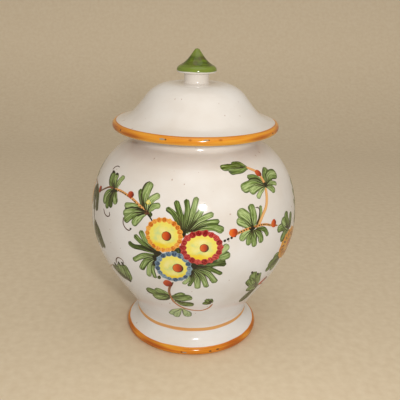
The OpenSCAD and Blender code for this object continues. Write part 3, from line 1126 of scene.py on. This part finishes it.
def right_branch():
    leaf([([(30.5, 151), (26, 157), (21.8, 160.7)], 8.2, 0.66),
          ([(30.8, 151.5), (27.5, 162), (22.6, 168.3)], 9.6, 0.66),
          ([(31.2, 151.5), (31.7, 164), (30.4, 172.3)], 7.4, 0.6)], narrow=0.6, full=0.4, line=1.0)
    leaf([([(33.2, 152), (36.3, 161.5), (37, 169.5)], 3.8, 0.55)])
    vein([(33, 153.5), (35.2, 159.5), (36.1, 164.5), (35.5, 167.5), (33.5, 168.6)], 1.5)
    leaf([([(30.5, 149.5), (26, 146), (23.7, 141)], 7.6, 0.7),
          ([(30.7, 149), (28.5, 142), (28.4, 135)], 5.6, 0.5),
          ([(31, 149), (31.5, 139.5), (32, 132.3)], 6.4, 0.55),
          ([(32, 149), (35.5, 141.5), (36.2, 134.5)], 6.0, 0.5),
          ([(33, 150), (38.5, 146.5), (40.8, 139.5)], 4.4, 0.4)], full=0.4, line=1.2)
    place, path = trail(stems, [(19, 145.7), (21.5, 148), (25, 150), (28, 151), (31, 151.2), (34.5, 152),
                                (38.5, 151.5), (43.5, 148.5), (48.5, 146)], 2.6, taper=0.2, tint=0.55)
    dashes(place, path, 2.8, 1.8, 1.2)
    for spot in ((15.5, 143), (17.2, 144.2), (19, 145.2), (20.8, 146.5)):
        dark_dab(spot, 1.35, 1.15, tilt=30)
    dark_dab((30.7, 150.5), 3.6, 1.5, tilt=10)
    berry((19.9, 149.6), 4.2, 3.9, tint=0.85)
    berry((45.3, 149.5), 3.5, 4.0, tint=0.6)
    trail(stems, [(34.5, 152.5), (37.5, 160), (41, 167.5), (42.5, 173.5), (44, 182.5)], 3.1,
          taper=0.0, tint=0.9)
    trail(stems, [(44.3, 184), (44, 189.5), (43.5, 193), (42, 196), (39, 198.5), (36, 200.5)], 3.0,
          taper=0.1, tint=0.7)
    berry((43, 194.5), 3.8, 3.2, tilt=-40, tint=0.3)
    leaf([([(43.8, 185.5), (39.5, 192), (33.2, 193)], 5.6, 0.5),
          ([(43.8, 184.5), (36, 187.5), (27, 184.5)], 9.2, 0.64),
          ([(43.8, 184), (38, 184.5), (31.8, 181.5)], 7.6, 0.64),
          ([(43.5, 183), (39.2, 180), (36, 175.5)], 4.6, 0.8)], narrow=0.45, full=0.45, line=1.0)
    vein([(42.5, 188), (39.5, 191), (35.5, 191.7), (32.3, 190)], 1.3)
    leaf([([(45, 185), (47.5, 191), (53, 196.5)], 7.6, 0.5),
          ([(45.2, 184.5), (52.5, 190.5), (60, 189)], 10.0, 0.5),
          ([(45, 184), (51.5, 184), (55, 182)], 4.6, 0.55),
          ([(44.7, 183.5), (48.5, 180.5), (50.8, 176.5)], 6.4, 0.5)], full=0.45)
    dark_dab((44.5, 184.5), 1.6, 2.8)
    leaf([([(36.3, 200), (32, 203), (26, 203.6)], 7.0, 0.4),
          ([(36.3, 200), (27, 201.5), (20.5, 202.6)], 8.0, 0.4),
          ([(32, 201), (23, 202), (17.3, 201.7)], 7.0, 0.35),
          ([(36.3, 200), (30, 199), (22, 198.9)], 7.0, 0.45)], narrow=0.6, veins=0, line=0.7)


def bottom_sprig():
    trail(tendrils, [(-10.3, 98), (-12, 92.5), (-13.2, 85), (-13, 77)], 2.6, taper=0.1, tint=0.55)
    vein([(-10, 98.5), (-11.5, 94)], 1.4)
    berry((-13.1, 96), 4.6, 4.4, tilt=-40, tint=0.1)
    leaf([([(-13, 79.5), (-21.5, 78.5), (-29, 81)], 11.5, 0.42),
          ([(-13, 79), (-18, 81.5), (-22, 85.5)], 9.5, 0.55),
          ([(-13.5, 78), (-19.5, 74), (-26, 73)], 13.0, 0.5)], narrow=0.5, full=0.4)
    vein([(-13.5, 77.5), (-17.5, 70.5), (-22.5, 68.5)], 1.3)
    leaf([([(-12.7, 77), (-8.5, 79), (-4.2, 84)], 8.5, 0.55),
          ([(-12.5, 75), (-5.5, 76.5), (0.3, 79)], 11.0, 0.58),
          ([(-10.7, 71.5), (-5, 67), (1.7, 67)], 9.0, 0.4)], narrow=0.4, full=0.5)
    vein([(-11, 72.5), (-5.5, 69.3), (1.5, 68.5)], 1.6)
    trail(tendrils, [(-13, 79.5), (-11.5, 68.5), (-7, 61), (0, 56.5), (7.5, 55.5), (12.5, 59),
                     (14.5, 66)], 2.4, taper=0.4, tint=0.8)
    leaf([([(13.3, 67.5), (10.5, 68), (7.3, 69)], 6.5, 0.3),
          ([(13.3, 68.5), (11, 72), (8.8, 74.5)], 6.5, 0.45),
          ([(13.5, 68), (12.7, 71.5), (11.7, 75)], 4.6, 0.3)], narrow=0.6)
    leaf([([(-7, 58.5), (-11, 54.5), (-17.7, 44)], 8.0, 0.72),
          ([(-7, 58), (-11, 49), (-13.7, 41)], 7.0, 0.68),
          ([(-6.5, 58), (-3.5, 51.5), (-3, 43.5)], 9.0, 0.72)], narrow=0.3, full=0.6, veins=0, line=0.6)


def left_sprig():
    leaf([([(-42, 84.5), (-50, 90), (-53, 96.5)], 8.0, 0.15),
          ([(-41.5, 84.5), (-47, 92), (-49, 99.5)], 9.5, 0.4),
          ([(-41, 84.5), (-43.5, 94), (-44, 104)], 10.0, 0.55),
          ([(-40.5, 85), (-39, 98), (-40.3, 106)], 9.0, 0.45)], narrow=0.5, full=0.35, line=1.3)
    for spot in ((-48.5, 99.5), (-43.8, 103.8), (-40.5, 105.8)):
        dark_dab(spot, 1.5, 2.8, tilt=10)
    dark_dab((-40.8, 85), 2.4, 2.6)
    trail(tendrils, [(-46.5, 103), (-45.2, 108.5), (-42, 112), (-39.7, 111), (-39.3, 107)], 1.3, tint=0.1)


def petal_lines(spot, half_wide, half_high, near, far, count):
    """Short brown strokes round a flower, each pointing at its middle."""
    for turn in np.linspace(0, 2 * math.pi, count, endpoint=False):
        across = np.array((half_wide * math.cos(turn), half_high * math.sin(turn)))
        path = np.linspace(near, far, 6)[:, None] * across
        half = 0.95 * np.sin(np.linspace(0.3, math.pi - 0.3, 6))
        stroke(tendrils, spot, path, half, DOT_LIFT, 0.1 + 0.3 * chance.random())


def left_side():
    trail(tendrils, [(-70, 168.5), (-76, 170.5), (-82, 170), (-88, 165), (-91, 158)], 2.0, tint=0.5)
    leaf([([(-72.5, 170), (-77, 160), (-75.5, 149)], 7.0, 0.2),
          ([(-72, 170), (-71.5, 158), (-69, 145)], 8.0, 0.0),
          ([(-71.5, 170), (-66, 161), (-64, 147)], 9.0, 0.12)], line=1.4)
    vein([(-70.5, 160), (-69, 146), (-67.5, 139), (-66, 133)], 2.0)
    leaf([([(-66, 136), (-59.8, 128), (-55.5, 113)], 7.5, 0.15),
          ([(-66.5, 136), (-62.5, 122), (-59, 110.5)], 7.5, 0.0),
          ([(-67, 136), (-68, 123), (-66, 111)], 7.0, 0.2)], line=1.6)
    fan((-93, 162), [(-80.5, 177, 5.4), (-84.5, 184, 5.8), (-89.5, 188, 5.8), (-95, 189, 5.8),
                     (-100.5, 186, 5.8), (-105, 180, 5.4)], 0.5)
    fan((-112, 133), [(-116.5, 151, 5.4), (-120.5, 146, 5.8), (-123.5, 138.5, 5.8),
                      (-124, 130, 5.8), (-121.5, 121, 5.4)], 0.45)
    fan((-111, 122), [(-120.5, 113.5, 5.2), (-119, 106, 5.6), (-114.5, 100.5, 5.4)], 0.6)
    fan((-93, 107), [(-79.5, 99, 5.2), (-80.5, 91.5, 5.6), (-85, 86, 5.8), (-91, 83, 5.8),
                     (-97.5, 83.5, 5.8), (-103, 88, 5.6), (-107.5, 95, 5.2)], 0.5)
    round_dab(leaves, (-94.5, 134), 6.5, 8.0, LEAF_LIFT, 0.0, wave=0.1)
    for dab in (((-95, 137), 1.8, 2.6), ((-93.5, 131), 1.6, 3.0), ((-112.5, 133), 2.2, 3.6),
                ((-93, 164), 3.0, 2.4), ((-93, 104.5), 3.2, 2.6)):
        dark_dab(*dab)
    flower((-91, 151), 16.0, 15.5, 0.75, "orange", 12)
    flower((-104.5, 131), 17.5, 16.2, 0.7, "crimson", 15)
    flower((-87.5, 118.5), 16.0, 16.0, 0.74, "blue", 18)
    trail(tendrils, [(-101, 164), (-106, 167), (-111, 168), (-116, 167)], 2.0, tint=0.5)
    trail(tendrils, [(-92, 90), (-88, 80), (-79, 77), (-69, 81), (-60, 89), (-54, 95)], 2.2, tint=0.7)
    trail(tendrils, [(-91, 86), (-92.5, 80), (-92, 75)], 1.8, taper=0.1, tint=0.6)
    berry((-92, 74), 4.0, 3.8, tint=0.1)
    fan((-79, 77.5), [(-70.5, 67, 7.5), (-78, 63, 7.5), (-86, 65.5, 7.5)], 0.6, HANGING_LEAF)


def right_side():
    leaf([([(62, 134), (53.5, 141.5), (48.2, 141.5)], 8.5, 0.4),
          ([(62, 134.5), (55.5, 144.5), (53.3, 150.5)], 9.0, 0.45),
          ([(62, 135), (58.5, 147), (57.8, 155)], 8.0, 0.45),
          ([(63.5, 135), (64, 143.5), (64.7, 151)], 7.0, 0.35)], line=1.3)
    leaf([([(62, 136), (56, 133), (52.4, 127)], 9.0, 0.35)])
    leaf([([(58, 109), (53, 112), (48.6, 110.5)], 8.5, 0.3),
          ([(58, 108.5), (52, 107), (45.6, 105)], 9.5, 0.35),
          ([(58, 108), (52, 103), (45.5, 98)], 8.5, 0.3),
          ([(58, 107), (55.5, 101), (51.5, 94)], 8.5, 0.35)], narrow=0.4, full=0.7, line=1.3)
    fan((87.5, 132), [(74, 157, 5.4), (76.5, 167, 5.8), (81, 174.5, 5.8), (86.5, 177, 5.8),
                      (92, 175, 5.8), (97, 168.5, 5.4)], 0.45)
    fan((81.5, 124), [(72.5, 138.5, 4.8), (75, 145, 5.0), (78.5, 148.5, 4.6)], 0.3)
    fan((81, 112), [(71, 97, 5.0), (74, 91.5, 5.0), (78, 87.5, 4.6)], 0.35)
    fan((96, 129), [(103.5, 148, 5.4), (108.5, 143, 5.8), (112, 135.5, 5.8),
                    (113, 127, 5.8), (111, 118.5, 5.4)], 0.5)
    fan((96, 100), [(107, 109.5, 5.2), (111, 102.5, 5.6), (112, 94.5, 5.6),
                    (109.5, 86.5, 5.6), (105, 79.5, 5.2)], 0.45)
    fan((86, 86), [(72, 78, 5.2), (75, 71.5, 5.6), (81, 66.5, 5.8), (88, 64.5, 5.8),
                   (95, 66, 5.8), (101, 71.5, 5.4)], 0.55)
    round_dab(leaves, (82.5, 112.5), 9.0, 4.5, LEAF_LIFT, 0.0, wave=0.1)
    for dab in (((81.5, 112), 2.8, 2.8), ((86.5, 111.8), 3.0, 1.6), ((79.5, 124), 1.4, 3.2),
                ((100, 128), 2.0, 3.2), ((99, 99), 2.0, 3.2)):
        dark_dab(*dab)
    flower((64.8, 117.5), 22.0, 15.8, 0.68, "ochre", 21, disc=amber)
    petal_lines((64.8, 117.5), 22.0, 15.8, 0.52, 0.8, 17)
    flower((90, 127.5), 17.5, 16.0, 0.7, "crimson", 24)
    flower((89.5, 95.5), 16.5, 16.0, 0.74, "blue", 27)
    place, path = trail(stems, [(110, 139), (117, 143.5), (124, 146), (131.5, 146)], 2.4,
                        taper=0.1, tint=0.6)
    dashes(place, path, 3.0, 1.9, 1.1)
    berry((119.5, 148.5), 3.8, 3.7, tint=0.7)
    trail(tendrils, [(83, 74), (79, 64.5), (71, 61.5), (62, 68)], 2.2, tint=0.7)
    trail(tendrils, [(92, 71), (98, 63.5), (107, 62.5), (118, 68)], 2.0, tint=0.7)
    fan((71, 62), [(63.5, 52.5, 7.0), (70.5, 47.5, 7.0), (78, 51, 7.0)], 0.7, HANGING_LEAF)
    trail(tendrils, [(87, 67), (88, 62.5), (87.5, 58)], 1.8, taper=0.1, tint=0.6)
    berry((87.5, 57), 4.0, 3.8, tint=0.1)


def right_sprig():
    leaf([([(46, 76.5), (37, 93), (35, 103)], 9.0, 0.5), ([(46, 78), (42, 90), (40, 98.5)], 7.0, 0.45),
          ([(46.5, 76), (37, 88), (33, 95)], 9.0, 0.5), ([(47, 75), (40, 79), (36.3, 80)], 11.0, 0.4)],
         narrow=0.6, full=0.4)
    dark_dab((34, 103), 1.2, 2.0, tilt=20)
    dark_dab((39.3, 98), 1.2, 2.0, tilt=20)
    leaf([([(47.5, 78), (43.5, 66.5), (42.2, 55.5)], 13.0, 0.2)])
    vein([(48, 78), (45.5, 67), (43.3, 56)], 1.4)
    berry((51.3, 80.5), 6.4, 3.4, tilt=40, tint=0.0)
    vein([(47, 76.5), (50, 78), (54.5, 82)], 1.6)
    trail(tendrils, [(47, 76), (50, 77), (55, 73), (62, 68)], 1.8, tint=0.5)


FRONT = (front_bouquet, left_branch, right_branch, bottom_sprig)
for group in (*FRONT, left_sprig, left_side, right_side, right_sprig):
    group()
Hand.turn = 180.0
Hand.mirror = -1
for group in (*FRONT, left_sprig, right_sprig):
    group()

GREEN = brushed("leaf_green", rgb(40, 50, 10), rgb(112, 136, 60), rgb(186, 202, 134), edge=0.75, pool=0.5)
DARK = brushed("line_dark", rgb(26, 28, 14), rgb(44, 44, 22), rgb(70, 64, 34), edge=0.2)
STEM = brushed("stem_orange", rgb(170, 86, 28), rgb(232, 154, 76), rgb(238, 184, 116), edge=0.5)
TENDRIL = brushed("tendril_brown", rgb(70, 40, 26), rgb(120, 74, 44), rgb(204, 138, 86), edge=0.2)
RED = core_colour()
YELLOW = disc_colour("flower_yellow", rgb(208, 218, 140), rgb(242, 228, 124), rgb(247, 236, 164),
                     rgb(243, 223, 86), rgb(244, 206, 44))
AMBER = disc_colour("flower_amber", rgb(212, 138, 22), rgb(226, 156, 28), rgb(232, 176, 58),
                    rgb(222, 146, 22), rgb(214, 128, 16))


def petal_colour(rim, edge, vary, *tones):
    return brushed(f"petal_{rim}", *(rgb(*tone) for tone in tones), edge, vary=vary, dab=True)


def ground_colour(rim, *tones):
    return brushed(f"rim_{rim}", *(rgb(*tone) for tone in tones), edge=0.2)


RIMS = {
    "orange": petal_colour("orange", 0.8, 0.25, (180, 82, 16), (222, 128, 28), (246, 180, 80)),
    "crimson": petal_colour("crimson", 0.7, 0.25, (104, 4, 10), (160, 16, 22), (210, 86, 76)),
    "blue": petal_colour("blue", 0.8, 0.25, (28, 42, 62), (72, 97, 122), (144, 165, 174)),
    "ochre": petal_colour("ochre", 0.6, 0.2, (150, 78, 14), (212, 134, 22), (230, 164, 50)),
}
GROUNDS = {
    "orange": ground_colour("orange", (214, 112, 34), (234, 148, 62), (246, 190, 112)),
    "crimson": ground_colour("crimson", (124, 16, 22), (172, 42, 38), (222, 114, 96)),
    "blue": ground_colour("blue", (57, 79, 101), (108, 133, 148), (170, 187, 189)),
    "ochre": ground_colour("ochre", (186, 104, 20), (218, 146, 34), (232, 174, 64)),
}
PITCH = {"orange": 4.6, "crimson": 5.2, "blue": 5.3, "ochre": 7.0}

wall_line = drawn_line("wall_line", wall_path)
wrap = wall_tree()
ring = petal_tree()


def on_jar(piece):
    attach(piece, "jar")


def painted(name, paint, finish):
    piece = paint.flat_object(name)
    add_tree(piece, wrap, {"Wall": wall_line, "Finish": finish})
    on_jar(settle(piece, sharp=60))


def petals(name, spot, half_wide, half_high, middle, rim, seed):
    """The ring of petal dabs round one flower."""
    deep = (1 - middle) * 0.5 * (half_wide + half_high) / 2 + 0.3
    round_path = 2 * math.pi * 0.5 * (half_wide + half_high) * (1 + middle) / 2
    count = int(round(round_path / PITCH[rim]))
    dab = Paint()
    round_dab(dab, spot, deep, 0.52 * PITCH[rim], PETAL_LIFT, 0.3, wave=0.05, spokes=18)
    piece = dab.flat_object(name, tinted=False)
    add_tree(piece, ring, {"Count": count, "Half Width": half_wide * (1 + middle) / 2 * MM,
                           "Half Height": half_high * (1 + middle) / 2 * MM, "Overlap": 0.03 * MM,
                           "Seed": seed, "Finish": RIMS[rim]})
    add_tree(piece, wrap, {"Wall": wall_line, "Finish": RIMS[rim]})
    on_jar(settle(piece, sharp=60))


painted("painted_leaves", leaves, GREEN)
for name, paint, finish in (
        ("lines", lines, DARK), ("stems", stems, STEM), ("tendrils", tendrils, TENDRIL),
        ("berries", dots, RED), ("discs", discs, YELLOW), ("amber", amber, AMBER)):
    painted(f"painted_{name}", paint, finish)
for rim, ground in rim_grounds.items():
    painted(f"painted_rims_{rim}", ground, GROUNDS[rim])
Hand.turn = 0.0
Hand.mirror = 1
for number, (spot, half_wide, half_high, middle, rim, seed) in enumerate(flower_rims, 1):
    petals(f"petals_{rim}_{number}", spot, half_wide, half_high, middle, rim, seed)
bpy.data.objects.remove(wall_line)


# The turned pieces

for name, solid, body, slot, path, finish in (
        ("jar_wall", "jar_body", "jar", "white_glaze", jar_outline(), jar_glaze()),
        ("foot_ring", "foot", "jar", "white_glaze", foot_outline(), foot_glaze()),
        ("lid_bell", "lid_dome", "lid", "white_glaze", lid_outline(), lid_glaze()),
        ("locating_ring", "lid_ring", "lid", "bare_clay", ring_outline(), ring_clay()),
        ("knob", "finial", "lid", "green_glaze", knob_outline(), knob_glaze())):
    piece = thrown(name, path, finish)
    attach(piece, body)
    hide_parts(solid)


# Floor, light and camera

def seen_rays(tree):
    """1 for what the camera sees straight or mirrored in the glaze, and 0 for light thrown back."""
    ray = node(tree, "ShaderNodeLightPath").outputs
    mirrored = larger(tree, ray["Is Glossy Ray"], ray["Is Transmission Ray"])
    return larger(tree, ray["Is Camera Ray"], mirrored)


FLOOR_REACH = 2.5
BACK_WALL = 1.2
BACK_WALL_TOP = 2.2
BEND_R = 0.45
# The floor's colour in the light that it throws back at the jar
FLOOR_BOUNCE = rgb(208, 209, 210)


def sweep_floor():
    """A pale floor, in metres, that runs up into a back wall in one bend."""
    bend = arc((BACK_WALL - BEND_R, BEND_R), BEND_R, -90, 0, 16)
    path = np.vstack(((-FLOOR_REACH, 0.0), (0.3, 0.0), bend, (BACK_WALL, BACK_WALL_TOP)))
    points = [(x, y, z) for y, z in path for x in (-FLOOR_REACH, FLOOR_REACH)]
    faces = [(2 * i, 2 * i + 1, 2 * i + 3, 2 * i + 2) for i in range(len(path) - 1)]
    floor = new_object("floor", points, faces=faces)
    for face in floor.data.polygons:
        face.use_smooth = True
    finish, tree, shader = new_finish("pale_floor", 0.9)
    place = node(tree, "ShaderNodeTexCoord").outputs["Object"]
    grain = noise(tree, place, 120.0, 3.0)
    height = parted(tree, place)["Z"]
    level = ramp(tree, grain, (0.3, rgb(226, 205, 172)), (0.7, rgb(234, 215, 184)))
    upright = ramp(tree, grain, (0.3, rgb(240, 218, 184)), (0.7, rgb(246, 226, 194)))
    tone = mix(tree, step_between(tree, height, 0.0, 0.25), level, upright)
    colour_with(tree, shader, mix(tree, seen_rays(tree), FLOOR_BOUNCE, tone))
    floor.data.materials.append(finish)


sweep_floor()

CAMERA_BACK = 0.5524
CAMERA_UP = 0.341
CAMERA_DOWN = 19.59
CAMERA_ROLL = 1.3
LENS = 49.79
SHIFT = 0.0155

eye = bpy.data.cameras.new("camera")
eye.lens = LENS
eye.sensor_width = 36.0
eye.shift_x = SHIFT
eye.clip_start = 0.02
camera = add_to_scene(bpy.data.objects.new("camera", eye))
camera.matrix_world = (Matrix.Translation((0.0, -CAMERA_BACK, CAMERA_UP))
                       @ Matrix.Rotation(math.radians(90 - CAMERA_DOWN), 4, "X")
                       @ Matrix.Rotation(math.radians(CAMERA_ROLL), 4, "Z"))
bpy.context.scene.camera = camera


def lamp(name, place, aim, size, power):
    light = bpy.data.lights.new(name, "AREA")
    light.shape = "DISK"
    light.size = size
    light.energy = power
    obj = add_to_scene(bpy.data.objects.new(name, light))
    direction = np.array(aim) - np.array(place)
    back = -direction / np.linalg.norm(direction)
    side = np.cross((0.0, 0.0, 1.0), back)
    side /= np.linalg.norm(side)
    up = np.cross(back, side)
    obj.matrix_world = Matrix([[side[i], up[i], back[i], place[i]] for i in range(3)] + [[0, 0, 0, 1]])


lamp("key", place=(0.10, -0.60, 0.39), aim=(0.0, 0.0, 0.14), size=0.057, power=1.62)
lamp("overhead", place=(0.1, -0.15, 1.25), aim=(0.0, 0.0, 0.2), size=1.1, power=2.1)


def pale_backdrop(tree):
    """Past the edge of the floor, the camera sees a plain wall in the backdrop's own colour."""
    wall = node(tree, "ShaderNodeBackground", {"Color": rgb(196, 178, 146), "Strength": 1.0})
    either = node(tree, "ShaderNodeMixShader",
                  {0: seen_rays(tree), 1: tree.nodes["Background"].outputs[0], 2: wall.outputs[0]})
    tree.links.new(either.outputs[0], tree.nodes["World Output"].inputs["Surface"])


world = bpy.data.worlds.new("studio")
world.use_nodes = True
world.node_tree.nodes["Background"].inputs["Color"].default_value = rgb(255, 251, 245)
world.node_tree.nodes["Background"].inputs["Strength"].default_value = 0.49
pale_backdrop(world.node_tree)
bpy.context.scene.world = world

bpy.context.scene.view_settings.view_transform = "Standard"
